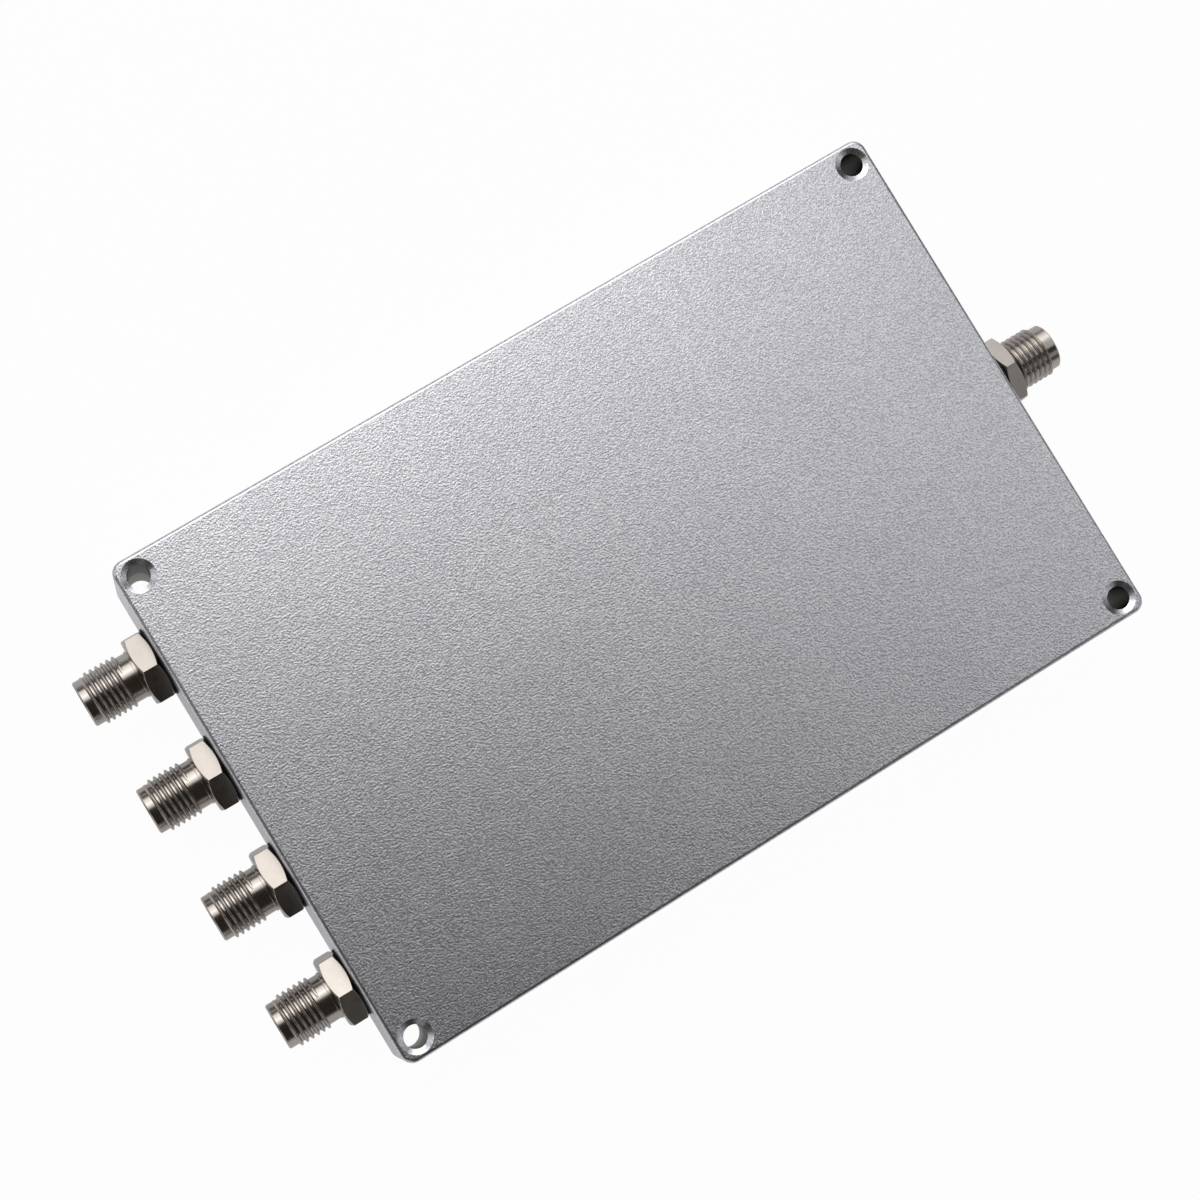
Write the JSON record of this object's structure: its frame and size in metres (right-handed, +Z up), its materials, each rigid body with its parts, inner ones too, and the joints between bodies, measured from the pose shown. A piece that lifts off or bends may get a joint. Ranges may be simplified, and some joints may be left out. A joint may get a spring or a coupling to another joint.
{
  "type": "rf power splitter",
  "caption": "Flat milled metal box that divides a radio signal: a threaded coaxial input jack on one end wall, a row of output jacks on the other, and screw holes through its corners.",
  "frame": {"origin": "middle of the bottom face", "axes": "+X along the body towards the input jack, +Y across the body, +Z up out of the top face"},
  "size_m": [0.1189, 0.064, 0.016],
  "materials": {
    "anodised_aluminium": "matte",
    "nickel_plate": "polished",
    "gold_plate": "polished",
    "ptfe": "satin",
    "black_rubber": "matte",
    "laminate": "matte",
    "copper": "satin",
    "screw_steel": "satin",
    "chip_ceramic": "satin"
  },
  "bodies": {
    "root": {"housing": "anodised_aluminium", "bottom_cover": "anodised_aluminium", "cover_screws": "screw_steel", "circuit_board": "laminate", "copper_track": "copper", "board_screws": "screw_steel", "isolation_resistor_1": "chip_ceramic", "isolation_resistor_2": "chip_ceramic", "isolation_resistor_3": "chip_ceramic", "input_shell": "nickel_plate", "input_insulator": "ptfe", "input_contact": "gold_plate", "input_washer": "black_rubber", "output_1_shell": "nickel_plate", "output_1_insulator": "ptfe", "output_1_contact": "gold_plate", "output_1_washer": "black_rubber", "output_2_shell": "nickel_plate", "output_2_insulator": "ptfe", "output_2_contact": "gold_plate", "output_2_washer": "black_rubber", "output_3_shell": "nickel_plate", "output_3_insulator": "ptfe", "output_3_contact": "gold_plate", "output_3_washer": "black_rubber", "output_4_shell": "nickel_plate", "output_4_insulator": "ptfe", "output_4_contact": "gold_plate", "output_4_washer": "black_rubber"}
  },
  "joints": []
}
